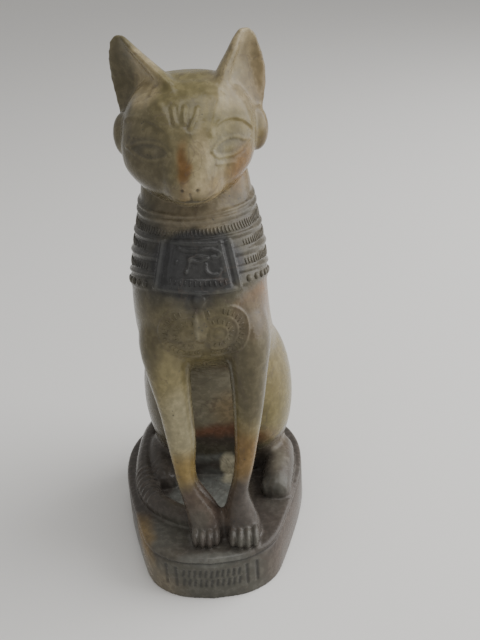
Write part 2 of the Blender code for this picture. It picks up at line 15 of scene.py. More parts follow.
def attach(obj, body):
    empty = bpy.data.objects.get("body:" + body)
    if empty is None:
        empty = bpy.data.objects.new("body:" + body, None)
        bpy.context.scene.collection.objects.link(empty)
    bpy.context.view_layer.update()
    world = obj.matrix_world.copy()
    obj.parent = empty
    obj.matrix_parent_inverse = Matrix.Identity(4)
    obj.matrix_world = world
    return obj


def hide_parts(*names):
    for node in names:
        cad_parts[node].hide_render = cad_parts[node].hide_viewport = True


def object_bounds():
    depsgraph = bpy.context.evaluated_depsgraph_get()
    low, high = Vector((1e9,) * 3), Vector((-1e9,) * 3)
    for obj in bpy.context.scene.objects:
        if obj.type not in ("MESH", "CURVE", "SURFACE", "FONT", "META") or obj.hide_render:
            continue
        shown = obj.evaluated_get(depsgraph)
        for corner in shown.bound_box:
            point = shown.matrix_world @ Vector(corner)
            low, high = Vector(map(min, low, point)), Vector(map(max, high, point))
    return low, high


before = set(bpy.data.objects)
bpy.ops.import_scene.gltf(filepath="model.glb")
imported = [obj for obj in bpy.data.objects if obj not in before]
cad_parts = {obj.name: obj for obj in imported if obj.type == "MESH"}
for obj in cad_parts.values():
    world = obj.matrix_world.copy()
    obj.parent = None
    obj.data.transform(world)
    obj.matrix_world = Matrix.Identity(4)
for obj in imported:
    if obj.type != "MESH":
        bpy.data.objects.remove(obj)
solid_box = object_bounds()

# Driving sizes of the block
FIGURE_HEIGHT = 0.138
PLINTH_HEIGHT = 0.0145
PLINTH_SIDE_MARGIN = 0.0035
PLINTH_FRONT_MARGIN = 0.0024
PLINTH_BACK_MARGIN = 0.0022
PLINTH_SIDE_OFFSET = 0.0016
PLINTH_EDGE_ROUND = 0.0013
PLINTH_GROOVE_DROP = 0.0020
PLINTH_GROOVE_WIDTH = 0.0007
PLINTH_GROOVE_DEPTH = 0.0005
# The carver's grid stands this far in front of the plinth's middle
GRID_FORWARD = 0.0004

# The inscription's place on the plinth's front: rows of plain strokes between two uprights
PANEL_WIDTH = 0.0205
PANEL_SIDE_OFFSET = 0.0018
PANEL_FOOT = 0.0040
PANEL_HEIGHT = 0.0066
UPRIGHT_GAP = 0.0029
STROKE_PITCH = 0.0016
STROKE_WIDTH = 0.0007
STROKE_DEPTH = 0.0004

# The carver's grid: one part is a 138th of the figure's height, and the cat is set out in parts,
# with z from the plinth's top
FIGURE_PARTS = 138
PART = FIGURE_HEIGHT / FIGURE_PARTS
HAUNCH_REACH = 25.2
PAW_REACH = 37.6
RUMP_REACH = 38.6

# Places that both the carving and its ornament use, in parts
MUZZLE_SIDE = 1.6
NECK_FORWARD = 3.0
PLATE_REACH = 12.6
BEETLE_SIDE = 1.0
WING_SIDE = 3.8
WING_HEIGHT = 66.2

# The ornament's counts round the neck, and how much smaller the smallest stud is
FLUTES_ROUND = 110
BEADS_ROUND = 44
UNEVENNESS = 0.16

# Grain of the clay, the head and the carving in parts, the sole that is kept flat,
# and the finished carving's triangles
CLAY_VOXEL = 0.8
HEAD_VOXEL = 0.6
CARVING_VOXEL = 0.36
SOLE_DEPTH = 0.3
TRIANGLES = 190000

# Each light's name, place, power in watts and size
LIGHTS = (
    ("window", (0.60, 0.08, 0.36), 7.8, 0.8),
    ("skylight", (0.08, -0.10, 0.66), 1.2, 0.32),
    ("fill", (-0.3, -0.7, 0.4), 0.8, 0.6),
)

# The camera's lens on a frame 36 mm tall, its place, and its yaw, pitch and roll in degrees
LENS = 53.04
CAMERA_PLACE = (0.0175, -0.2490, 0.1935)
CAMERA_TURN = (-1.34, 26.44, -3.64)


def smooth_rows(rows, count):
    """Rows of numbers, the first the station, read at evenly spread stations on a smooth curve."""
    rows = np.asarray(rows, float)
    station = rows[:, 0]
    slope = np.gradient(rows, station, axis=0)
    at = np.linspace(station[0], station[-1], count)
    low = np.clip(np.searchsorted(station, at, side="right") - 1, 0, len(rows) - 2)
    if station[0] > station[-1]:
        low = np.clip(np.searchsorted(-station, -at, side="right") - 1, 0, len(rows) - 2)
    span = (station[low + 1] - station[low])[:, None]
    t = ((at - station[low]) / (station[low + 1] - station[low]))[:, None]
    return (
        (2 * t**3 - 3 * t**2 + 1) * rows[low]
        + (t**3 - 2 * t**2 + t) * span * slope[low]
        + (3 * t**2 - 2 * t**3) * rows[low + 1]
        + (t**3 - t**2) * span * slope[low + 1]
    )


def smooth_step(value, start, end):
    t = np.clip((value - start) / (end - start), 0, 1)
    return t * t * (3 - 2 * t)


def swell(distance, reach):
    """A rounded ridge: one on its line, nothing past its reach."""
    return np.clip(1 - (distance / reach) ** 2, 0, None) ** 2


def to_line(u, v, line):
    """Distance of each point (u, v) from an open line of points."""
    best = np.full(u.shape, np.inf)
    for (au, av), (bu, bv) in zip(line, line[1:]):
        run = (bu - au) ** 2 + (bv - av) ** 2
        t = np.clip(((u - au) * (bu - au) + (v - av) * (bv - av)) / run, 0, 1)
        best = np.minimum(best, np.hypot(u - au - t * (bu - au), v - av - t * (bv - av)))
    return best


def add_rings(clay, rings):
    """A closed loft through rings of equally many points."""
    made = [[clay.verts.new(point) for point in ring] for ring in rings]
    for lower, upper in zip(made, made[1:]):
        for i in range(len(lower)):
            j = (i + 1) % len(lower)
            clay.faces.new((lower[i], lower[j], upper[j], upper[i]))
    clay.faces.new(made[0][::-1])
    clay.faces.new(made[-1])


def add_column(clay, rows, levels=40, sides=40):
    """A loft of level sections: z, middle x, half width, front y, back y and squareness."""
    angle = np.linspace(0, 2 * math.pi, sides, endpoint=False)
    rings = []
    for z, x, half, front, back, square in smooth_rows(rows, levels):
        c, s = np.cos(angle), np.sin(angle)
        power = 2 / square
        ring_x = x + half * np.sign(c) * np.abs(c) ** power
        ring_y = (front + back) / 2 + (back - front) / 2 * np.sign(s) * np.abs(s) ** power
        rings.append(np.column_stack([ring_x, ring_y, np.full(sides, z)]))
    add_rings(clay, rings)


def add_roll(clay, rows, stations=24, sides=16):
    """A roll along the ground: its station, x, y, z, half width and half height."""
    line = smooth_rows(rows, stations)
    way = np.gradient(line[:, 1:3], axis=0)
    way /= np.linalg.norm(way, axis=1)[:, None]
    angle = np.linspace(0, 2 * math.pi, sides, endpoint=False)
    rings = []
    for (_, x, y, z, half, height), (way_x, way_y) in zip(line, way):
        across = half * np.cos(angle)
        rings.append(
            np.column_stack([x + way_y * across, y - way_x * across, z + height * np.sin(angle)])
        )
    add_rings(clay, rings)


def add_ball(clay, centre, radii, lean=0.0):
    """An ellipsoid. A positive lean tips its top forwards, in degrees."""
    made = bmesh.ops.create_uvsphere(clay, u_segments=32, v_segments=20, radius=1)["verts"]
    c, s = math.cos(math.radians(lean)), math.sin(math.radians(lean))
    for vert in made:
        x, y, z = (a * b for a, b in zip(vert.co, radii))
        vert.co = (centre[0] + x, centre[1] + y * c - z * s, centre[2] + y * s + z * c)


def add_ear(clay, side, turn, rows):
    """An ear as a bent leaf turned outwards: level sections round a shallow open hollow."""
    arc = np.linspace(0, math.pi, 19)
    c, s = math.cos(math.radians(turn)), math.sin(math.radians(turn))
    rings = []
    for z, outer, inner, middle_y, depth, wall, hollow in smooth_rows(rows, 30):
        width = outer - inner
        # The turned leaf still spans from its inner to its outer x
        chord = (width**2 - (depth * s) ** 2) / (2 * width)
        half = chord / c
        low, high = 0.8 * wall - half, half - max(0.45 * wall, 1.4)
        rims = (low + high) / 2 + (high - low) / 2 * np.cos(arc[::-1])
        along = np.concatenate([half * np.cos(arc), rims])
        behind = np.concatenate([depth * np.sin(arc), hollow * np.sin(arc)])
        x = (outer - chord + along * c - behind * s) * side
        y = middle_y + along * s + behind * c
        ring = np.column_stack([x, y, np.full(len(x), z)])
        rings.append(ring if side > 0 else ring[::-1])
    add_rings(clay, rings)


def torso_clay():
    """The trunk and the haunches that swell from its sides."""
    clay = bmesh.new()
    trunk = [
        (114, -0.2, 11.0, -9.0, 10.0, 2.0),
        (100, 0.3, 15.0, -14.4, 13.4, 2.0),
        (96, 0.3, 15.4, -17.4, 15.0, 2.0),
        (92, 0.3, 16.1, -20.5, 16.0, 2.1),
        (86, 0.2, 17.4, -24.0, 17.9, 2.1),
        (80, 0.0, 18.4, -26.8, 19.6, 2.2),
        (74, -0.3, 18.9, -28.9, 21.3, 2.4),
        (68, -0.4, 19.0, -29.8, 23.0, 2.5),
        (62, -0.3, 19.2, -28.6, 25.2, 2.5),
        (56, -0.2, 19.4, -24.6, 27.4, 2.4),
        (50, 0.0, 19.8, -17.5, 29.6, 2.2),
        (44, 0.2, 20.4, -11.5, 31.6, 2.2),
        (36, 0.6, 21.2, -7.6, 34.0, 2.2),
        (28, 0.8, 21.6, -5.0, 36.0, 2.3),
        (18, 0.9, 21.4, -2.6, 37.6, 2.4),
        (8, 0.8, 21.0, -0.4, RUMP_REACH, 2.5),
        (-3, 0.8, 20.6, 0.4, RUMP_REACH, 2.5),
    ]
    add_column(clay, trunk, levels=60, sides=56)
    add_ball(clay, (-10.8, 16.0, 25.0), (11.6, 20.5, 25.5), lean=10)
    add_ball(clay, (13.0, 14.0, 25.0), (HAUNCH_REACH - 13.0, 20.0, 25.5), lean=10)
    return clay


def legs_clay():
    """The forelegs, and the hind feet beside them."""
    clay = bmesh.new()
    right_leg = [
        (72, -10.0, 4.6, -23.0, -4.0, 2.0),
        (66, -10.3, 6.6, -26.6, -5.0, 2.0),
        (60, -10.6, 7.2, -28.0, -7.0, 2.1),
        (50, -10.0, 6.0, -28.3, -13.0, 2.1),
        (40, -8.9, 4.8, -28.4, -17.0, 2.1),
        (28, -8.0, 4.0, -28.8, -19.6, 2.1),
        (21, -7.8, 3.1, -29.4, -20.8, 2.1),
        (17, -7.3, 3.0, -30.0, -21.2, 2.1),
        (13, -5.6, 3.8, -31.0, -21.8, 2.1),
        (9, -3.9, 4.7, -31.9, -22.2, 2.1),
        (3, -2.9, 5.2, -33.4, -22.4, 2.2),
        (-3, -2.7, 5.2, -34.0, -22.0, 2.2),
    ]
    left_leg = [
        (72, 10.6, 4.6, -23.0, -4.0, 2.0),
        (66, 11.4, 6.2, -26.6, -5.0, 2.0),
        (60, 12.0, 6.7, -28.0, -7.0, 2.1),
        (50, 12.0, 5.4, -28.3, -13.0, 2.1),
        (40, 11.4, 4.4, -28.4, -17.0, 2.1),
        (28, 10.1, 3.3, -28.8, -19.6, 2.1),
        (21, 9.1, 2.8, -29.4, -20.8, 2.1),
        (17, 8.2, 2.6, -30.0, -21.2, 2.1),
        (13, 7.2, 2.9, -31.0, -21.8, 2.1),
        (9, 7.1, 4.1, -31.9, -22.2, 2.1),
        (3, 7.7, 5.4, -33.4, -22.4, 2.2),
        (-3, 7.9, 5.3, -34.0, -22.0, 2.2),
    ]
    for leg in (right_leg, left_leg):
        add_column(clay, leg, levels=36, sides=24)
    left_foot = [
        (0, 20.0, 12.0, 1.0, 5.0, 7.0),
        (1, 19.6, 3.0, 1.0, 5.2, 7.0),
        (2, 18.6, -6.0, 1.0, 4.9, 6.2),
        (3, 18.0, -11.5, 1.0, 4.4, 5.0),
        (4, 17.9, -13.6, 1.0, 2.6, 3.4),
    ]
    right_foot = [
        (0, -19.0, 16.0, 1.0, 5.0, 7.0),
        (1, -18.8, 9.0, 1.0, 5.0, 7.0),
        (2, -17.4, 1.0, 1.0, 4.8, 6.2),
        (3, -16.4, -4.0, 1.0, 4.4, 5.0),
        (4, -16.2, -6.2, 1.0, 2.6, 3.4),
    ]
    for foot in (left_foot, right_foot):
        add_roll(clay, foot)
    return clay


def head_clay():
    """The head's masses: skull and cheeks, the long nose, muzzle, ears and the lobes below them."""
    clay = bmesh.new()
    skull = [
        (95.5, -0.3, 7.0, -11.0, 9.0, 2.0),
        (98.5, -0.6, 10.8, -17.0, 10.5, 2.0),
        (102.0, -0.7, 14.2, -20.0, 11.5, 2.0),
        (105.5, -0.7, 16.8, -20.8, 12.2, 2.05),
        (109.5, -0.5, 17.8, -20.2, 12.6, 2.1),
        (113.5, -0.2, 17.8, -18.6, 12.6, 2.15),
        (117.5, 0.0, 17.3, -16.2, 12.4, 2.15),
        (121.5, 0.0, 15.6, -12.4, 11.4, 2.1),
        (125.0, 0.0, 12.6, -8.4, 9.4, 2.0),
        (127.2, 0.0, 9.4, -4.6, 6.8, 2.0),
        (128.2, 0.0, 5.6, -1.8, 4.2, 2.0),
    ]
    add_column(clay, skull, levels=36, sides=40)
    nose = [
        (97.8, 0.0, 4.2, -18.8, -6.0, 2.0),
        (99.4, 0.3, 6.6, -22.2, -6.0, 2.0),
        (101.4, 0.5, 8.0, -24.6, -6.0, 1.9),
        (103.6, 0.6, 8.2, -25.8, -6.0, 1.8),
        (105.6, 0.7, 8.4, -26.2, -6.0, 1.7),
        (107.6, 0.9, 8.8, -25.5, -6.0, 1.62),
        (110.0, 1.0, 9.2, -24.0, -6.0, 1.6),
        (113.5, 1.0, 10.0, -21.6, -6.0, 1.6),
        (117.5, 0.6, 10.4, -18.8, -5.0, 1.65),
        (121.5, 0.0, 10.4, -15.0, -4.0, 1.75),
        (125.0, 0.0, 9.0, -10.4, -3.0, 1.9),
        (127.0, 0.0, 6.0, -6.4, -2.0, 2.0),
    ]
    add_column(clay, nose, levels=32, sides=28)
    # z, outer x, inner x, middle y of the rim, depth, wall of the inner rim, depth of the hollow
    left_ear = [
        (110.0, 18.4, 5.5, -1.6, 8.0, 4.0, -1.6),
        (116.0, 19.9, 5.4, -1.6, 8.0, 4.2, -0.6),
        (120.0, 20.9, 5.8, -1.2, 7.8, 4.6, 0.4),
        (124.0, 21.4, 6.4, -0.6, 7.2, 4.8, 1.3),
        (128.5, 21.3, 8.0, 0.2, 6.2, 4.4, 1.8),
        (133.0, 20.2, 10.9, 1.2, 4.6, 3.4, 1.5),
        (136.4, 19.0, 13.0, 1.8, 3.2, 2.2, 0.8),
        (138.1, 17.7, 14.4, 2.0, 2.0, 1.3, 0.2),
    ]
    right_ear = [
        (110.0, 18.2, 4.2, -1.6, 8.0, 4.0, -1.6),
        (116.0, 19.2, 2.8, -1.6, 8.0, 4.4, -0.6),
        (120.0, 20.2, 1.8, -1.2, 7.8, 5.6, 0.4),
        (124.0, 20.9, 1.0, -0.6, 7.4, 6.8, 1.3),
        (127.0, 21.2, 2.4, -0.2, 6.8, 6.8, 1.8),
        (131.0, 21.2, 7.2, 0.8, 5.4, 4.8, 1.8),
        (134.5, 20.5, 11.4, 1.4, 4.0, 3.2, 1.2),
        (136.8, 19.6, 13.9, 1.8, 2.8, 2.0, 0.7),
        (138.1, 18.6, 15.4, 2.0, 2.0, 1.3, 0.2),
    ]
    for side, ear in ((1, left_ear), (-1, right_ear)):
        add_ear(clay, side, 46, ear)
        add_ball(clay, (side * 17.3, 2.2, 112.0), (3.8, 5.2, 6.4))
    return clay


def tail_and_toes():
    """The crisp low masses on the plinth: the tail round the right side, and four toes a paw."""
    clay = bmesh.new()
    tail = [
        (0, 6.0, 29.0, 2.0, 4.0, 4.6),
        (1, -4.0, 33.6, 2.0, 4.4, 5.2),
        (2, -14.0, 31.6, 2.0, 4.4, 5.2),
        (3, -21.0, 24.0, 2.0, 4.0, 5.0),
        (4, -23.2, 10.0, 1.6, 3.6, 4.6),
        (5, -22.6, -3.0, 1.2, 3.5, 4.2),
        (6, -19.4, -12.6, 1.0, 3.4, 4.0),
        (7, -13.8, -18.8, 1.0, 3.3, 3.8),
        (8, -8.0, -22.6, 1.0, 3.0, 3.6),
        (9, -4.6, -25.0, 1.0, 1.6, 2.4),
    ]
    add_roll(clay, tail, stations=60)
    for middle, front, spread in ((-2.9, -36.6, 2.0), (8.1, -37.4, 2.15)):
        for toe in (-1.5, -0.5, 0.5, 1.5):
            back = 0.6 * abs(toe)
            add_ball(
                clay,
                (middle + toe * spread, front + 4.2 + back, 2.0),
                (1.35, 4.4, 3.2),
                lean=-12,
            )
    for middle, front in ((17.9, -14.0), (-16.2, -6.6)):
        for toe in (-1.5, -0.5, 0.5, 1.5):
            back = 0.5 * abs(toe)
            add_ball(clay, (middle + toe * 1.9, front + 3.6 + back, 2.0), (1.5, 3.6, 2.7))
    return clay


def plinth_clay():
    """The plinth: wide and round behind, drawn in towards a bowed front."""
    half = HAUNCH_REACH * PART + PLINTH_SIDE_MARGIN
    front = -PAW_REACH * PART - PLINTH_FRONT_MARGIN
    back = RUMP_REACH * PART + PLINTH_BACK_MARGIN
    length = back - front
    # Shares of the half width and of the length from the front
    plan = [
        (0.00, 0.000),
        (0.28, 0.014),
        (0.46, 0.042),
        (0.60, 0.085),
        (0.69, 0.140),
        (0.78, 0.240),
        (0.87, 0.355),
        (0.95, 0.475),
        (1.00, 0.610),
        (0.97, 0.745),
        (0.82, 0.865),
        (0.48, 0.963),
        (0.00, 1.000),
    ]
    steps = np.linspace(0, len(plan) - 1, 61)
    way = smooth_rows([(i, *point) for i, point in enumerate(plan)], len(steps))[:, 1:]
    x = np.concatenate([way[:, 0], -way[-2:0:-1, 0]]) * half
    y = front + np.concatenate([way[:, 1], way[-2:0:-1, 1]]) * length
    outline = np.column_stack([x - PLINTH_SIDE_OFFSET, y]) / PART
    height = PLINTH_HEIGHT / PART
    soft = PLINTH_EDGE_ROUND / PART
    middle = np.array([0.0, (front + back) / 2 / PART])
    reach = np.linalg.norm(outline - middle, axis=1)[:, None]
    clay = bmesh.new()
    rings = []
    levels = [(-height, 0.35), (0.35 - height, 0.0), (-soft, 0.0)]
    for turn in (30, 60, 90):
        a = math.radians(turn)
        levels.append((-soft + soft * math.sin(a), soft * (1 - math.cos(a))))
    for z, inset in levels:
        ring = outline - (outline - middle) / reach * inset
        rings.append(np.column_stack([ring, np.full(len(ring), z)]))
    add_rings(clay, rings)
    return clay


def pressed(name, clay, tools):
    """The clay after the named modifiers, each given with its settings, as a new bmesh."""
    mesh = bpy.data.meshes.new(name)
    clay.to_mesh(mesh)
    clay.free()
    body = bpy.data.objects.new(name, mesh)
    bpy.context.scene.collection.objects.link(body)
    for kind, settings in tools:
        modifier = body.modifiers.new(kind.lower(), kind)
        for key, value in settings.items():
            setattr(modifier, key, value)
    evaluated = body.evaluated_get(bpy.context.evaluated_depsgraph_get())
    result = bmesh.new()
    result.from_mesh(evaluated.to_mesh())
    evaluated.to_mesh_clear()
    bpy.data.objects.remove(body)
    bpy.data.meshes.remove(mesh)
    return result


def joined(name, clays, voxel, rounds):
    """The clays pressed into one closed body and smoothed."""
    whole = bmesh.new()
    for clay in clays:
        piece = bpy.data.meshes.new(name)
        clay.to_mesh(piece)
        clay.free()
        whole.from_mesh(piece)
        bpy.data.meshes.remove(piece)
    bmesh.ops.recalc_face_normals(whole, faces=whole.faces)
    remesh = ("REMESH", {"mode": "VOXEL", "voxel_size": voxel, "adaptivity": 0})
    soften = ("SMOOTH", {"factor": 0.5, "iterations": rounds})
    return pressed(name, whole, [remesh, soften])


def flowing(points, count=14):
    """A smooth line through a few points of the carver's drawing."""
    return smooth_rows([(i, *point) for i, point in enumerate(points)], count)[:, 1:]


def face_relief(x, y, z, facing):
    """Brows, lidded eyes, forehead strokes, temple ridges, nostrils and mouth."""
    left_brow = [
        (5.4, 117.6), (8.0, 118.5), (10.8, 118.4),
        (13.4, 117.6), (15.6, 115.9), (17.2, 113.9),
    ]
    right_brow = [
        (5.0, 117.0), (7.4, 118.5), (10.4, 119.2),
        (13.0, 119.3), (15.2, 118.6), (17.0, 117.2),
    ]
    upper_lid = [
        (4.5, 112.3), (6.2, 113.8), (9.0, 114.4),
        (12.2, 114.1), (14.4, 113.0), (16.0, 112.4),
    ]
    lower_lid = [
        (4.5, 112.3), (6.0, 110.9), (8.6, 110.3),
        (11.4, 110.3), (13.8, 111.3), (16.0, 112.4),
    ]
    crease = [(5.5, 109.3), (8.2, 108.5), (10.9, 108.0)]
    temple = [(6.6, 122.8), (5.6, 121.6), (4.8, 119.4), (4.3, 116.6)]
    cut = np.zeros(x.shape)
    for side, brow in ((1, left_brow), (-1, right_brow)):
        # The eye on the cat's left starts further from the nose
        squeeze = 1.2 if side > 0 else 1.0
        u = 16 - (16 - x * side) * squeeze
        ledge = flowing(brow)
        above = z - np.interp(u, ledge[:, 0], ledge[:, 1])
        ends = smooth_step(u, 4.6, 6.4) * (1 - smooth_step(u, 16.4, 18.0))
        raised = smooth_step(above, -0.5, 0.2) * np.exp(-((above / 4.5) ** 2))
        cut += ends * (0.36 * raised + 0.16 * swell(above - 0.1, 0.7))
        cut -= 0.5 * swell(np.hypot((u - 10.2) / 8.0, (z - 112.6) / 4.4), 1.0)
        cut += 0.42 * swell(np.hypot((u - 9.8) / 4.4, (z - 112.4) / 2.0), 1.0)
        cut += 0.22 * swell(to_line(u, z, flowing(upper_lid)), 0.7)
        cut += 0.24 * swell(to_line(u, z, flowing(lower_lid)), 0.7)
        cut += 0.18 * swell(to_line(u, z, flowing(crease)), 0.6)
        cut += 0.3 * swell(to_line(u, z, flowing(temple)), 1.5)
    strokes = (
        [(-3.1, 122.0), (-2.9, 120.6), (-2.5, 119.1)],
        [(0.0, 122.3), (-0.3, 120.8), (-0.2, 119.3)],
        [(3.1, 121.9), (2.5, 120.2), (1.2, 118.3)],
    )
    for stroke in strokes:
        along = to_line(x, z, flowing(stroke, 6))
        cut += 0.26 * swell(along, 0.55) - 0.1 * swell(along - 0.95, 0.5)
    x = x - MUZZLE_SIDE
    cut += 0.4 * swell(np.hypot((x + 1.2) / 3.6, (z - 105.6) / 2.2), 1.0)
    for side in (-1, 1):
        cut += 0.45 * swell(np.hypot((x + 1.0 - side * 3.5) / 3.4, (z - 102.5) / 2.3), 1.0)
        cut -= 0.6 * swell(np.hypot(x - side * 1.9 + 1.3, z - 104.3), 0.8)
    mouth = [(-6.6, 101.7), (-3.6, 100.6), (-1.1, 100.9), (1.6, 100.4), (4.6, 101.4)]
    cut -= 0.32 * swell(to_line(x, z, flowing(mouth)), 0.6)
    cut -= 0.5 * swell(to_line(x, z, [(-2.2, 100.7), (0.2, 100.6)]), 0.6)
    cut -= 0.35 * swell(to_line(x, z, [(-1.3, 103.6), (-1.1, 101.0)]), 0.5)
    return cut * facing * smooth_step(-y, 3, 6) * smooth_step(z, 97, 99)


def collar_edges(angle):
    """Heights of the collar's top and foot at an angle round the neck from the front."""
    top = 96.3 - 0.5 * np.cos(angle)
    foot = 70.5 + 7.5 * np.cos(angle) + 2.5 * smooth_step(np.abs(angle), 1.8, math.pi)
    return top, foot


def collar_relief(x, y, z):
    """A broad collar of rings and grooves. The beads along its foot are set on later."""
    top, foot = collar_edges(np.arctan2(x, -(y + NECK_FORWARD)))
    down = (top - z) / (top - foot)
    cut = 0.3 * smooth_step(down, -0.02, 0.03) * (1 - smooth_step(down, 0.98, 1.01))
    for place, reach, height in (
        (0.05, 0.032, 0.42),
        (0.12, 0.040, 0.46),
        (0.35, 0.034, 0.44),
        (0.57, 0.042, 0.50),
        (0.80, 0.034, 0.44),
    ):
        cut += height * swell(down - place, reach)
    for place in (0.17, 0.31, 0.40, 0.51, 0.63, 0.75, 0.84):
        cut -= 0.22 * swell(down - place, 0.022)
    return cut


def pectoral_relief(x, z):
    """A hanging plate on the collar's front, a little askew, with its bars and a sacred eye."""
    z = z + 0.07 * x
    rise = np.clip((z - 77.0) / (89.4 - 77.0), 0, 1)
    half = 11.6 - 2.6 * rise
    x = x - 0.1 - 0.3 * rise
    inside = smooth_step(half - np.abs(x), -0.3, 0.3)
    inside = inside * smooth_step(z, 76.7, 77.2) * (1 - smooth_step(z, 89.1, 89.6))
    edge = half - np.abs(x)
    border = swell(edge - 0.6, 0.7) + swell(z - 77.6, 0.6) + swell(z - 88.9, 0.5)
    bars = swell(edge - 3.0, 0.6) * smooth_step(z, 80.2, 81.2) * smooth_step(x, -4, 4)
    cut = 0.55 * inside
    cut += inside * (0.3 * np.clip(border, 0, 1) + 0.3 * bars)
    floor = smooth_step(edge, 3.5, 4.0) * smooth_step(z, 80.4, 80.9)
    floor = floor * (1 - smooth_step(z, 88.0, 88.5))
    gap = smooth_step(edge, 1.3, 1.7) * (1 - smooth_step(edge, 2.2, 2.6))
    gap = gap * smooth_step(z, 78.2, 78.8)
    cut -= inside * (0.3 * floor + 0.3 * gap)
    lines = (
        [
            (-4.6, 87.9), (-2.8, 87.2), (0.3, 87.3), (3.0, 87.8),
            (5.2, 87.2), (6.0, 86.0), (4.2, 85.6),
        ],
        [(-1.8, 85.5), (0.4, 86.1), (2.9, 85.6)],
        [(-1.8, 85.5), (0.4, 84.8), (2.9, 85.6)],
        [(2.4, 84.3), (2.5, 82.8), (3.8, 81.7), (5.6, 81.7), (6.3, 82.7)],
        [(-1.6, 84.9), (-2.0, 83.4), (-2.6, 82.4)],
    )
    for line in lines:
        cut += 0.5 * inside * swell(to_line(x, z, flowing(line, 10)), 0.6)
    for spot in ((-5.0, 84.4), (-2.6, 82.3)):
        cut += 0.5 * inside * swell(np.hypot(x - spot[0], z - spot[1]), 0.8)
    return cut, inside


def scarab_relief(x, z):
    """A winged beetle under a disc: ringed round wings, cut straight along their tops."""
    disc = np.clip(1 - np.hypot(x - 0.3, z - 75.4) ** 2 / 1.9**2, 0, None)
    back = np.clip(1 - ((x - 0.3) / 1.9) ** 2 - ((z - 68.6) / 5.2) ** 2, 0, None)
    cut = 0.7 * np.sqrt(disc) + 0.8 * np.sqrt(back)
    for side in (-1, 1):
        u = side * (x - BEETLE_SIDE)
        reach = np.hypot(u - WING_SIDE, z - WING_HEIGHT)
        wing = (1 - smooth_step(reach, 8.0, 8.5)) * smooth_step(u, 0.9, 1.5)
        wing = wing * (1 - smooth_step(z + 0.08 * (u - 6) ** 2 * (u > 6), 73.0, 73.5))
        cut += 0.3 * wing
        cut += 0.3 * wing * swell(reach, 1.7)
        for ring, height in ((2.2, 0.2), (5.0, 0.22), (7.9, 0.25)):
            cut += height * wing * swell(reach - ring, 0.5)
    return cut


def front_relief(x, z, facing):
    """The plate and the beetle on the breast, and where the plate lies."""
    plate, under = pectoral_relief(x, z)
    beetle = scarab_relief(x, z) * smooth_step(z, 56, 58) * (1 - smooth_step(z, 77.3, 77.6))
    return (plate + beetle) * facing, under * facing


def tail_hair(x, y, z):
    """Strokes of hair across the end of the tail."""
    along = y - 0.55 * x
    on_tail = smooth_step(-x, 17.0, 19.0) * smooth_step(z, 1.6, 2.6)
    on_tail = on_tail * (1 - smooth_step(z, 6.5, 7.5))
    on_tail = on_tail * smooth_step(-y, -1.0, 2.0) * (1 - smooth_step(-y, 15.0, 17.0))
    return -0.175 * on_tail * np.cos(2 * math.pi * along / 2.6)


def plinth_relief(x, z, facing, side_facing):
    """The groove under the plinth's top edge, and the strokes on its front."""
    depth = PLINTH_GROOVE_DEPTH / PART
    cut = -depth * side_facing * swell(z + PLINTH_GROOVE_DROP / PART, PLINTH_GROOVE_WIDTH / PART)
    panel_half = PANEL_WIDTH / PART / 2
    foot = (PANEL_FOOT - PLINTH_HEIGHT) / PART
    head = foot + PANEL_HEIGHT / PART
    x = x + PANEL_SIDE_OFFSET / PART
    pitch = STROKE_PITCH / PART
    reach = STROKE_WIDTH / PART
    row_height = (head - foot) / 2
    marks = np.zeros(x.shape)
    for row in (0, 1):
        start = foot + row * row_height
        count = int(2 * panel_half / pitch - 1)
        for i in range(count):
            at = (i + 0.5 - count / 2) * pitch
            lean = 0.12 * pitch
            line = [(at - lean, start + 0.18 * row_height), (at + lean, start + 0.82 * row_height)]
            marks = np.maximum(marks, swell(to_line(x, z, line), reach))
    outer = panel_half + UPRIGHT_GAP / PART
    for at in (-outer, -panel_half, panel_half, outer):
        marks = np.maximum(marks, swell(to_line(x, z, [(at, foot), (at, head)]), reach))
    return cut - STROKE_DEPTH / PART * marks * facing


def relief_at(co, normal):
    """How far the carving stands out at each point of the block."""
    x, y, z = co.T
    facing = smooth_step(-normal[:, 1], 0.15, 0.45)
    on_figure = smooth_step(z, 0.5, 1.5)
    plate, under = front_relief(x, z, facing)
    in_reach = (y < -8) & (z > 50) & (z < 96)
    plate = np.where(in_reach, plate, 0)
    under = np.where(in_reach, under, 0)
    shift = np.where(z > 97, face_relief(x, y, z, facing), 0)
    throat = 1 - smooth_step(z + 0.35 * np.clip(-y - 15, 0, None), 95, 97)
    shift += np.where(z < 99, collar_relief(x, y, z) * (1 - under) * throat, 0) + plate
    shift = shift * on_figure + tail_hair(x, y, z)
    side_facing = smooth_step(1 - np.abs(normal[:, 2]), 0.5, 0.9)
    return shift + np.where(z < 0.2, plinth_relief(x, z, facing, side_facing), 0)


def places_and_normals(body):
    """The body's points and the way each of them faces."""
    body.normal_update()
    places = np.array([vert.co for vert in body.verts])
    return places, np.array([vert.normal for vert in body.verts])


def carve(body):
    """Moves each point of the body along its normal by the depth of the carving there."""
    co, normal = places_and_normals(body)
    co += normal * relief_at(co, normal)[:, None]
    # The underside stays a true plane
    sole = -PLINTH_HEIGHT / PART
    co[:, 2] = np.where(co[:, 2] < sole + SOLE_DEPTH, sole, co[:, 2])
    for vert, place in zip(body.verts, co):
        vert.co = place


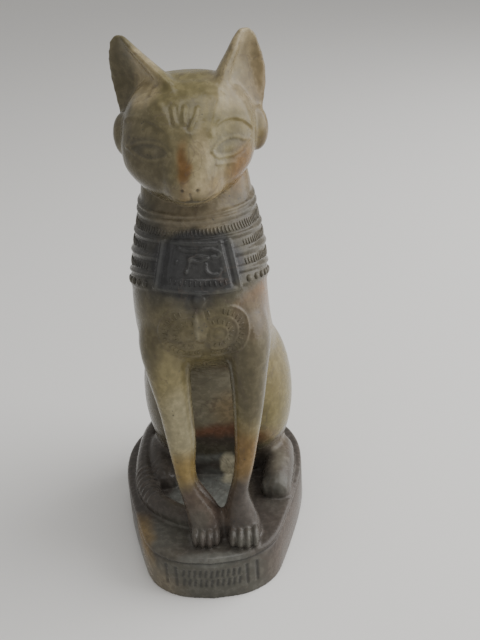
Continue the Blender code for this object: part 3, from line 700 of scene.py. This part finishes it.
def settle(body):
    """Brings the carved body from parts to metres, standing flat on z = 0 over its middle."""
    co = np.array([vert.co for vert in body.verts]) * PART
    co[:, 2] += PLINTH_HEIGHT
    co[:, 2] = np.where(co[:, 2] < SOLE_DEPTH * PART, 0, co[:, 2])
    co[:, 2] *= (PLINTH_HEIGHT + FIGURE_HEIGHT) / co[:, 2].max()
    co[:, :2] -= (co[:, :2].min(axis=0) + co[:, :2].max(axis=0)) / 2
    # Nothing stands past the solid's box
    co = np.clip(co, *solid_box)
    for vert, place in zip(body.verts, co):
        vert.co = place


# Stone colours
OLIVE = (0.140, 0.118, 0.052)
SAND = (0.210, 0.178, 0.090)
CREAM = (0.30, 0.245, 0.145)
OCHRE = (0.21, 0.135, 0.040)
AMBER = (0.20, 0.135, 0.060)
ORANGE = (0.145, 0.075, 0.026)
RUST = (0.13, 0.056, 0.034)
SIENNA = (0.135, 0.070, 0.028)
DRAB = (0.085, 0.074, 0.050)
BROWN = (0.076, 0.057, 0.047)
UMBER = (0.062, 0.054, 0.047)
SLATE = (0.056, 0.053, 0.044)
MOSS = (0.088, 0.086, 0.072)
ASH = (0.205, 0.19, 0.145)
PALE = (0.28, 0.25, 0.16)
INK = (0.033, 0.033, 0.034)
GREY = (0.16, 0.165, 0.15)
MILK = (0.50, 0.46, 0.33)
TAN = (0.20, 0.165, 0.11)

# How far the patches' edges stray in parts, the polish from smooth to dull, and the grain in metres
EDGE_STRAY = 4.5
POLISH = (0.16, 0.32)
GRAIN_DEPTH = 0.0003

# Patches of colour laid one over another, stains in the stone and also painted shade and painted
# light: each one's colour, its strength, its middle and reach in parts, and how soft its edge is
PATCHES = (
    # Painted shade, with some dark stain, over the cat's whole right side, then the head
    (DRAB, 0.6, (-24, 0, 104), (18, 40, 46), 0.5),
    (DRAB, 0.4, (0, -4, 112), (22, 24, 20), 0.3),
    (OLIVE, 0.6, (9, -8, 119), (9, 14, 5), 0.4),
    (SIENNA, 0.45, (26, -2, 90), (16, 30, 60), 0.4),
    (OLIVE, 0.7, (0, 0, 127), (13, 18, 8), 0.5),
    (OLIVE, 0.6, (13, -8, 114), (8, 18, 7), 0.4),
    (AMBER, 0.5, (9, -18, 103), (7, 10, 5), 0.5),
    # Painted shade, with some dark stain, on the cat's right cheek and eye
    (DRAB, 0.5, (-12, -16, 109), (8.5, 14, 9), 0.4),
    (CREAM, 0.5, (3.6, -22, 110), (2.6, 12, 8), 0.5),
    (ORANGE, 0.85, (-0.8, -22, 108), (1.6, 12, 6.5), 0.6),
    (ORANGE, 0.75, (14.5, -14, 105), (4.5, 9, 6.5), 0.5),
    # Painted shade, with some dark stain, on the right of the muzzle
    (DRAB, 0.35, (-9, -18, 102), (8, 9, 6), 0.5),
    (TAN, 0.4, (0.5, -26, 102), (7.5, 6, 4.5), 0.4),
    # A lighter nose pad, with a painted highlight on it
    (CREAM, 0.5, (1.0, -27, 104.5), (3, 4, 2.4), 0.5),
    # Painted shade, with some dark stain, in the hollow of the cat's right ear
    (DRAB, 0.55, (-17.5, 0, 125), (5.5, 9, 14), 0.3),
    # Painted light on the inner band of the cat's right ear
    (CREAM, 0.7, (-10.5, -3, 128), (4.6, 8, 10), 0.35),
    # Painted light on the rim of the cat's left ear
    (TAN, 0.4, (15, 0, 127), (8, 9, 12), 0.3),
    # Painted highlights on the temple ridge and the ledge under the cat's left ear
    (CREAM, 0.35, (9, -3, 125), (3, 6, 7), 0.9),
    (CREAM, 0.4, (9, -6, 122), (5, 8, 2.2), 0.9),
    # A painted highlight on the tip of the cat's left ear
    (CREAM, 0.6, (17, 0, 137), (5, 5, 3.5), 0.5),
    # Collar, plate and the stains round them, and painted light under the chin
    (SLATE, 0.85, (0, 0, 84), (60, 60, 14), 0.25),
    # Painted light on the throat, which lies in shade under the chin
    (TAN, 0.6, (1, -18, 95.5), (11, 9, 4.5), 0.5),
    # Dark stain, with painted shade, on the collar's right side
    (INK, 0.7, (-11, -18, 84), (9, 12, 9), 0.4),
    (INK, 0.9, (0.5, -24, 83.6), (13, 10, 8.6), 0.15),
    (SIENNA, 0.95, (15, -18, 68.5), (8, 16, 6.5), 0.3),
    (INK, 0.7, (0.3, -29, 75.4), (3.4, 5, 3.0), 0.3),
    (DRAB, 0.6, (1, -29, 66), (13, 8, 9), 0.4),
    # Painted shade, with some dark stain, on the cat's right shoulder
    (DRAB, 0.7, (-14, -20, 62), (10, 14, 13), 0.5),
    # Forelegs, belly and haunches
    (SAND, 0.7, (-8.4, -26, 42), (6, 12, 20), 0.25),
    (PALE, 0.7, (-8.0, -26, 37), (5, 12, 11), 0.4),
    (OCHRE, 0.6, (-7.4, -27, 23), (6, 10, 5), 0.5),
    (DRAB, 0.8, (13, -24, 55), (8, 14, 20), 0.3),
    (ORANGE, 0.65, (9.5, -27, 26), (6, 10, 9), 0.5),
    # Painted light on the belly between the forelegs, which lies in shade
    (ASH, 0.85, (2, -6, 38), (13, 13, 24), 0.3),
    (DRAB, 0.5, (2, -12, 58), (14, 14, 12), 0.4),
    (AMBER, 0.5, (7, -2, 27), (7, 12, 8), 0.5),
    (RUST, 0.4, (4, -10, 50), (4, 6, 3), 0.6),
    (RUST, 0.85, (4, 0, 17), (14, 12, 4.5), 0.4),
    # Painted shade under the body, with dark stone, along the belly's foot
    (SLATE, 0.85, (0, 0, 11), (18, 16, 6), 0.3),
    # Painted light on the plinth's top under the belly
    (GREY, 0.9, (-1, 0, 4), (10, 8, 5), 0.3),
    (OLIVE, 0.5, (24, 14, 34), (15, 28, 26), 0.4),
    # Painted shade, with some dark stain, down the cat's right flank and haunch
    (DRAB, 0.95, (-24, 10, 30), (17, 40, 42), 0.3),
    # The dark foot of the whole piece
    (BROWN, 0.8, (25, 8, 0), (15, 40, 15), 0.12),
    (BROWN, 0.92, (-5, -30, 6), (7, 14, 13), 0.25),
    (BROWN, 0.92, (8, -29, 4), (9, 16, 15), 0.2),
    (UMBER, 0.95, (12, -26, 5), (8, 14, 16), 0.2),
    (INK, 0.6, (16, -25, 8), (4, 14, 12), 0.4),
    (UMBER, 0.92, (0, 0, -6), (300, 300, 12), 0.2),
    (UMBER, 0.9, (-22, 0, 2), (12, 40, 9), 0.3),
    (UMBER, 0.6, (19, -4, 2), (7, 14, 8), 0.4),
    (ASH, 0.4, (19, -3, 9), (5, 6, 3), 0.6),
    (MOSS, 0.7, (18, -14, 4), (5, 7, 4), 0.6),
    (MOSS, 0.6, (9, -37, 4), (5, 4, 4), 0.6),
    (MOSS, 0.5, (-5, -33, 8), (3, 5, 4), 0.6),
    # The plinth
    # Painted light on the plinth's top between the forelegs
    (GREY, 0.95, (-1, -8, 0), (8, 9, 5), 0.3),
    # A painted pool of light on the plinth under the belly
    (MILK, 0.9, (3.6, -1, 4), (2.8, 5, 5), 0.3),
    (GREY, 0.8, (-9, -11, 0), (7, 6, 4), 0.3),
    (MOSS, 0.8, (-2, -42, -9), (26, 14, 9), 0.3),
    # Wear along the plinth's top front edge, with a painted highlight
    (GREY, 0.35, (2, -40.5, -0.6), (17, 3, 2.4), 0.4),
    (MOSS, 0.7, (-14, -27, 0), (9, 8, 3), 0.5),
    (BROWN, 0.6, (26, -24, -9), (14, 24, 10), 0.4),
    (OCHRE, 0.6, (-24, -29, -3), (5, 10, 7), 0.5),
    (TAN, 0.5, (-20, -32, -12), (10, 12, 6), 0.5),
)


def wired(tree, kind, inputs, **settings):
    """A new node with its settings, its values and the sockets that feed it."""
    made = tree.nodes.new(kind)
    for key, value in settings.items():
        setattr(made, key, value)
    for key, value in inputs.items():
        if isinstance(value, bpy.types.NodeSocket):
            tree.links.new(value, made.inputs[key])
        else:
            made.inputs[key].default_value = value
    return made


def maths(tree, operation, inputs):
    return wired(tree, "ShaderNodeMath", inputs, operation=operation).outputs[0]


def vector_maths(tree, operation, inputs):
    result = "Value" if operation == "LENGTH" else "Vector"
    return wired(tree, "ShaderNodeVectorMath", inputs, operation=operation).outputs[result]


def blended(tree, share, below, above, kind="MIX"):
    """One colour laid over another by its share."""
    below = (*below, 1) if isinstance(below, tuple) else below
    above = (*above, 1) if isinstance(above, tuple) else above
    inputs = {0: share, 6: below, 7: above}
    return wired(tree, "ShaderNodeMix", inputs, data_type="RGBA", blend_type=kind).outputs[2]


def ramped(tree, value, start, end, low=0.0, high=1.0):
    """A value that passes smoothly from low to high between start and end."""
    inputs = {0: value, 1: start, 2: end, 3: low, 4: high}
    return wired(tree, "ShaderNodeMapRange", inputs, interpolation_type="SMOOTHSTEP").outputs[0]


def noise(tree, grid, scale, detail=3.0, spread=0.0):
    """Soft noise on the carver's grid."""
    inputs = {"Vector": grid, "Scale": scale, "Detail": detail, "Distortion": spread}
    return wired(tree, "ShaderNodeTexNoise", inputs)


def stains_and_painted_light(tree, grid):
    """Clouds of olive and sand under the patches, whose edges stray a little."""
    wander = noise(tree, grid, 0.16, 4.0).outputs["Color"]
    wander = vector_maths(tree, "SUBTRACT", {0: wander, 1: (0.5, 0.5, 0.5)})
    wander = vector_maths(tree, "SCALE", {0: wander, "Scale": EDGE_STRAY})
    stray = vector_maths(tree, "ADD", {0: grid, 1: wander})
    clouds = ramped(tree, noise(tree, grid, 0.07, 5.0, 0.6).outputs[0], 0.35, 0.65)
    colour = blended(tree, clouds, OLIVE, SAND)
    # The patches hold stains and also painted shade and painted light
    for stone, strength, middle, reach, edge in PATCHES:
        away = vector_maths(tree, "SUBTRACT", {0: stray, 1: middle})
        away = vector_maths(tree, "DIVIDE", {0: away, 1: reach})
        away = vector_maths(tree, "LENGTH", {0: away})
        share = ramped(tree, away, 1 - edge, 1 + edge, strength, 0.0)
        colour = blended(tree, share, colour, stone)
    return colour


def speckled(tree, grid, colour):
    """The colour with a fine mottle, thin wandering veins and small black specks."""
    mottle = ramped(tree, noise(tree, grid, 0.5, 6.0).outputs[0], 0.3, 0.7, 0.82, 1.16)
    mottle = wired(tree, "ShaderNodeCombineColor", {0: mottle, 1: mottle, 2: mottle}).outputs[0]
    colour = blended(tree, 1.0, colour, mottle, "MULTIPLY")
    vein = noise(tree, grid, 0.055, 4.0, 1.2).outputs[0]
    vein = maths(tree, "SUBTRACT", {0: vein, 1: 0.5})
    vein = maths(tree, "ABSOLUTE", {0: vein})
    colour = blended(tree, ramped(tree, vein, 0.0, 0.012, 0.35, 0.0), colour, BROWN)
    # The specks crowd in some places and are missing in others
    cells = {"Vector": grid, "Scale": 0.75, "Randomness": 1.0}
    speck = wired(tree, "ShaderNodeTexVoronoi", cells).outputs["Distance"]
    crowd = ramped(tree, noise(tree, grid, 0.12, 2.0).outputs[0], 0.45, 0.72, 0.0, 0.25)
    near = maths(tree, "SUBTRACT", {0: crowd, 1: speck})
    return blended(tree, ramped(tree, near, 0.0, 0.08, 0.0, 0.6), colour, INK)


def darker_cuts_and_highlit_ridges(tree, colour):
    """The colour darker in the cuts, and lighter on what stands out: wear with a painted highlight.
    """
    carved = wired(tree, "ShaderNodeAttribute", {}, attribute_name="carved").outputs["Fac"]
    colour = blended(tree, ramped(tree, carved, -0.4, 0.0, 0.5, 0.0), colour, INK)
    # Painted highlight, with wear, on the carving that stands out
    worn_and_highlit = blended(tree, 0.5, colour, GREY, "ADD")
    return blended(tree, ramped(tree, carved, 0.5, 1.0, 0.0, 0.35), colour, worn_and_highlit)


def soapstone():
    """Olive and cream stone stained brown, rust and black, polished and a little worn, with painted
    shade and painted light in its colour.
    """
    material = bpy.data.materials.new("soapstone")
    material.use_nodes = True
    tree = material.node_tree
    shader = tree.nodes["Principled BSDF"]
    place = tree.nodes.new("ShaderNodeTexCoord").outputs["Object"]
    grid_start = (PLINTH_SIDE_OFFSET, -GRID_FORWARD, PLINTH_HEIGHT)
    grid = vector_maths(tree, "SUBTRACT", {0: place, 1: grid_start})
    grid = vector_maths(tree, "SCALE", {0: grid, "Scale": 1 / PART})
    colour = darker_cuts_and_highlit_ridges(tree, speckled(tree, grid, stains_and_painted_light(tree, grid)))
    tree.links.new(colour, shader.inputs["Base Color"])
    rough = ramped(tree, noise(tree, grid, 0.5, 4.0).outputs[0], 0.3, 0.7, *POLISH)
    tree.links.new(rough, shader.inputs["Roughness"])
    shader.inputs["Specular IOR Level"].default_value = 0.18
    grain = noise(tree, grid, 1.1, 5.0).outputs[0]
    bump = {"Strength": 0.25, "Distance": GRAIN_DEPTH, "Height": grain}
    tree.links.new(wired(tree, "ShaderNodeBump", bump).outputs[0], shader.inputs["Normal"])
    return material


def carried(tree, name, kind):
    """A value that each point carries."""
    return wired(tree, "GeometryNodeInputNamedAttribute", {"Name": name}, data_type=kind).outputs[0]


def aligned(tree, inputs, **settings):
    return wired(tree, "FunctionNodeAlignRotationToVector", inputs, **settings).outputs[0]


def ornament_tree():
    """Geometry Nodes: a small rounded stud on every point, lying the way its point says."""
    tree = bpy.data.node_groups.new("ornament", "GeometryNodeTree")
    sockets = {}
    for name, kind in (
        ("Points", "NodeSocketGeometry"),
        ("Stud Size", "NodeSocketVector"),
        ("Unevenness", "NodeSocketFloat"),
        ("Seed", "NodeSocketInt"),
        ("Stone", "NodeSocketMaterial"),
    ):
        socket = tree.interface.new_socket(name, in_out="INPUT", socket_type=kind)
        sockets[name] = socket.identifier
    tree.interface.new_socket("Studs", in_out="OUTPUT", socket_type="NodeSocketGeometry")
    given = tree.nodes.new("NodeGroupInput").outputs
    ball = {"Segments": 8, "Rings": 5, "Radius": 0.5}
    stud = wired(tree, "GeometryNodeMeshUVSphere", ball).outputs[0]
    facing = carried(tree, "facing", "FLOAT_VECTOR")
    way = carried(tree, "way", "FLOAT_VECTOR")
    length = carried(tree, "length", "FLOAT")
    turned = aligned(tree, {"Vector": facing}, axis="Z")
    turned = aligned(tree, {"Rotation": turned, "Vector": way}, axis="Y", pivot_axis="Z")
    low = maths(tree, "SUBTRACT", {0: 1.0, 1: given["Unevenness"]})
    spread = {2: low, 3: 1.0, "Seed": given["Seed"]}
    uneven = wired(tree, "FunctionNodeRandomValue", spread, data_type="FLOAT").outputs[1]
    size = vector_maths(tree, "SCALE", {0: given["Stud Size"], "Scale": uneven})
    stretch = wired(tree, "ShaderNodeCombineXYZ", {0: 1.0, 1: length, 2: 1.0}).outputs[0]
    size = vector_maths(tree, "MULTIPLY", {0: size, 1: stretch})
    inputs = {"Points": given["Points"], "Instance": stud, "Rotation": turned, "Scale": size}
    studs = wired(tree, "GeometryNodeInstanceOnPoints", inputs).outputs[0]
    studs = wired(tree, "GeometryNodeRealizeInstances", {0: studs}).outputs[0]
    dressed = {0: studs, "Material": given["Stone"]}
    studs = wired(tree, "GeometryNodeSetMaterial", dressed).outputs[0]
    studs = wired(tree, "GeometryNodeSetShadeSmooth", {0: studs}).outputs[0]
    wired(tree, "NodeGroupOutput", {0: studs})
    return tree, sockets


def ornament(name, tree, sockets, points, size, seed, stone):
    """A piece of small studs set on the carving. A point is its place, facing, way and length."""
    host = bpy.data.meshes.new(name + "_points")
    host.from_pydata([place for place, _, _, _ in points], [], [])
    layers = (("facing", "FLOAT_VECTOR", 1), ("way", "FLOAT_VECTOR", 2), ("length", "FLOAT", 3))
    for key, kind, at in layers:
        layer = host.attributes.new(key, kind, "POINT")
        flat = np.array([np.atleast_1d(point[at]) for point in points], dtype=np.float32).ravel()
        layer.data.foreach_set("vector" if kind == "FLOAT_VECTOR" else "value", flat)
    piece = bpy.data.objects.new(name, host)
    bpy.context.scene.collection.objects.link(piece)
    modifier = piece.modifiers.new("studs", "NODES")
    modifier.node_group = tree
    modifier[sockets["Stud Size"]] = [value * PART for value in size]
    modifier[sockets["Unevenness"]] = UNEVENNESS
    modifier[sockets["Seed"]] = seed
    modifier[sockets["Stone"]] = stone
    evaluated = piece.evaluated_get(bpy.context.evaluated_depsgraph_get())
    made = bpy.data.meshes.new_from_object(evaluated)
    made.name = name
    piece.modifiers.clear()
    piece.data = made
    bpy.data.meshes.remove(host)
    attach(piece, "root")
    return piece


def to_metres(x, y, z):
    return Vector(
        (x * PART + PLINTH_SIDE_OFFSET, y * PART - GRID_FORWARD, z * PART + PLINTH_HEIGHT)
    )


def touched(surface, start, end, along, length):
    """Where the line from start to end meets the carving, as a point for a stud."""
    start, end = to_metres(*start), to_metres(*end)
    place, normal, _, _ = surface.ray_cast(start, (end - start).normalized())
    return [] if place is None else [(place, normal, Vector(along), length)]


def touched_from_front(surface, x, z, along, length):
    return touched(surface, (x, -60, z), (x, 0, z), along, length)


def collar_point(surface, angle, down, length):
    """A stud's point on the collar, by its angle from the front and its share of the way down."""
    top, foot = collar_edges(angle)
    z = top - down * (top - foot)
    start = (50 * math.sin(angle), -NECK_FORWARD - 50 * math.cos(angle), z)
    return touched(surface, start, (0, -NECK_FORWARD, z), (0, 0, 1), length * (top - foot))


def turns(count):
    """Evenly spread angles round the neck, the first behind."""
    return [(i + 0.5) / count * 2 * math.pi - math.pi for i in range(count)]


def collar_studs(surface):
    """Upright flutes between the collar's rings, and the beads along its foot."""
    flutes, beads = [], []
    for down, share in ((0.24, 0.12), (0.455, 0.10), (0.69, 0.11)):
        above_plate = down < 0.3
        for angle in turns(FLUTES_ROUND):
            for point in collar_point(surface, angle, down, share):
                if above_plate or beside_plate(point[0]):
                    flutes.append(point)
    for angle in turns(BEADS_ROUND):
        for place, facing, way, _ in collar_point(surface, angle, 0.915, 0):
            if beside_plate(place):
                beads.append((place, facing, way, 1.0))
    return flutes, beads


def beside_plate(place):
    return place.y > 0 or abs(place.x - PLINTH_SIDE_OFFSET) > PLATE_REACH * PART


def wing_studs(surface):
    """Short feathers in two rounds on each of the beetle's wings."""
    studs = []
    for side in (-1, 1):
        for radius, count, length in ((3.6, 17, 1.6), (6.4, 30, 1.9)):
            for i in range(count):
                a = i / count * 2 * math.pi
                u = WING_SIDE + radius * math.cos(a)
                z = WING_HEIGHT + radius * math.sin(a)
                if u > 1.8 and z < 72.4 - 0.08 * max(u - 6, 0) ** 2:
                    along = (side * math.cos(a), 0, math.sin(a))
                    x = BEETLE_SIDE + side * u
                    studs += touched_from_front(surface, x, z, along, length)
    return studs


def fringe_studs(surface):
    """The row of short bars along the plate's foot."""
    studs = []
    for i in range(12):
        x = 0.4 + (i - 5.5) * 1.3
        studs += touched_from_front(surface, x, 79.9 - 0.07 * x, (0, 0, 1), 1.8)
    return studs


def carved_cat():
    """The cat and its plinth, with the fine ornament set on it."""
    torso = joined("torso", [torso_clay()], CLAY_VOXEL, 40)
    soft = joined("soft_masses", [torso, legs_clay()], CLAY_VOXEL, 10)
    head = joined("head_masses", [head_clay()], HEAD_VOXEL, 14)
    body = joined("block", [soft, head, tail_and_toes(), plinth_clay()], CARVING_VOXEL, 3)
    carve(body)
    share = min(1, TRIANGLES / (2 * len(body.faces)))
    body = pressed("thinned", body, [("DECIMATE", {"ratio": share})])
    depth = body.verts.layers.float.new("carved")
    for vert, cut in zip(body.verts, relief_at(*places_and_normals(body))):
        vert[depth] = cut
    settle(body)
    mesh = bpy.data.meshes.new("cat_carving")
    body.to_mesh(mesh)
    stone = soapstone()
    mesh.materials.append(stone)
    mesh.shade_smooth()
    cat = bpy.data.objects.new("cat_carving", mesh)
    bpy.context.scene.collection.objects.link(cat)
    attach(cat, "root")
    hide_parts("bastet_cat")
    surface = BVHTree.FromBMesh(body)
    tree, sockets = ornament_tree()
    flutes, beads = collar_studs(surface)
    feathers, fringe = wing_studs(surface), fringe_studs(surface)
    # Width, length and depth of a stud in parts, and the seed of its unevenness
    for name, points, size, seed in (
        ("collar_flutes", flutes, (0.75, 1.0, 0.5), 3),
        ("collar_beads", beads, (2.3, 2.3, 1.4), 5),
        ("wing_feathers", feathers, (0.65, 1.0, 0.45), 7),
        ("plate_fringe", fringe, (0.7, 1.0, 0.5), 11),
    ):
        ornament(name, tree, sockets, points, size, seed, stone)
    body.free()


def lay_floor():
    """The plain pale floor."""
    mesh = bpy.data.meshes.new("floor")
    corners = [(-3, -3, 0), (3, -3, 0), (3, 3, 0), (-3, 3, 0)]
    mesh.from_pydata(corners, [], [(0, 1, 2, 3)])
    floor = bpy.data.objects.new("floor", mesh)
    bpy.context.scene.collection.objects.link(floor)
    material = bpy.data.materials.new("pale_floor")
    material.use_nodes = True
    shader = material.node_tree.nodes["Principled BSDF"]
    shader.inputs["Base Color"].default_value = (0.72, 0.71, 0.69, 1)
    shader.inputs["Roughness"].default_value = 0.9
    mesh.materials.append(material)


def set_lights():
    """Even pale light all round, and the soft lights, which face the cat."""
    world = bpy.data.worlds.new("studio")
    bpy.context.scene.world = world
    world.use_nodes = True
    background = world.node_tree.nodes["Background"]
    background.inputs["Color"].default_value = (1, 0.99, 0.97, 1)
    background.inputs["Strength"].default_value = 0.5
    for name, place, power, size in LIGHTS:
        light = bpy.data.lights.new(name, "AREA")
        light.energy = power
        light.size = size
        lamp = bpy.data.objects.new(name, light)
        bpy.context.scene.collection.objects.link(lamp)
        lamp.location = place
        to_cat = Vector((0, 0, 0.07)) - lamp.location
        lamp.rotation_euler = to_cat.to_track_quat("-Z", "Y").to_euler()


def set_camera():
    """The camera at the photo's angle, a little rolled."""
    data = bpy.data.cameras.new("camera")
    data.sensor_fit = "VERTICAL"
    data.sensor_height = 36
    data.lens = LENS
    data.clip_start = 0.01
    camera = bpy.data.objects.new("camera", data)
    bpy.context.scene.collection.objects.link(camera)
    yaw, pitch, roll = (math.radians(turn) for turn in CAMERA_TURN)
    level = math.cos(pitch)
    ahead = Vector((math.sin(yaw) * level, math.cos(yaw) * level, -math.sin(pitch)))
    right = Vector((math.cos(yaw), -math.sin(yaw), 0))
    up = right.cross(ahead)
    rolled_right = math.cos(roll) * right + math.sin(roll) * up
    rolled_up = math.cos(roll) * up - math.sin(roll) * right
    camera.matrix_world = Matrix((rolled_right, rolled_up, -ahead)).transposed().to_4x4()
    camera.location = CAMERA_PLACE
    bpy.context.scene.camera = camera


carved_cat()
lay_floor()
set_lights()
set_camera()
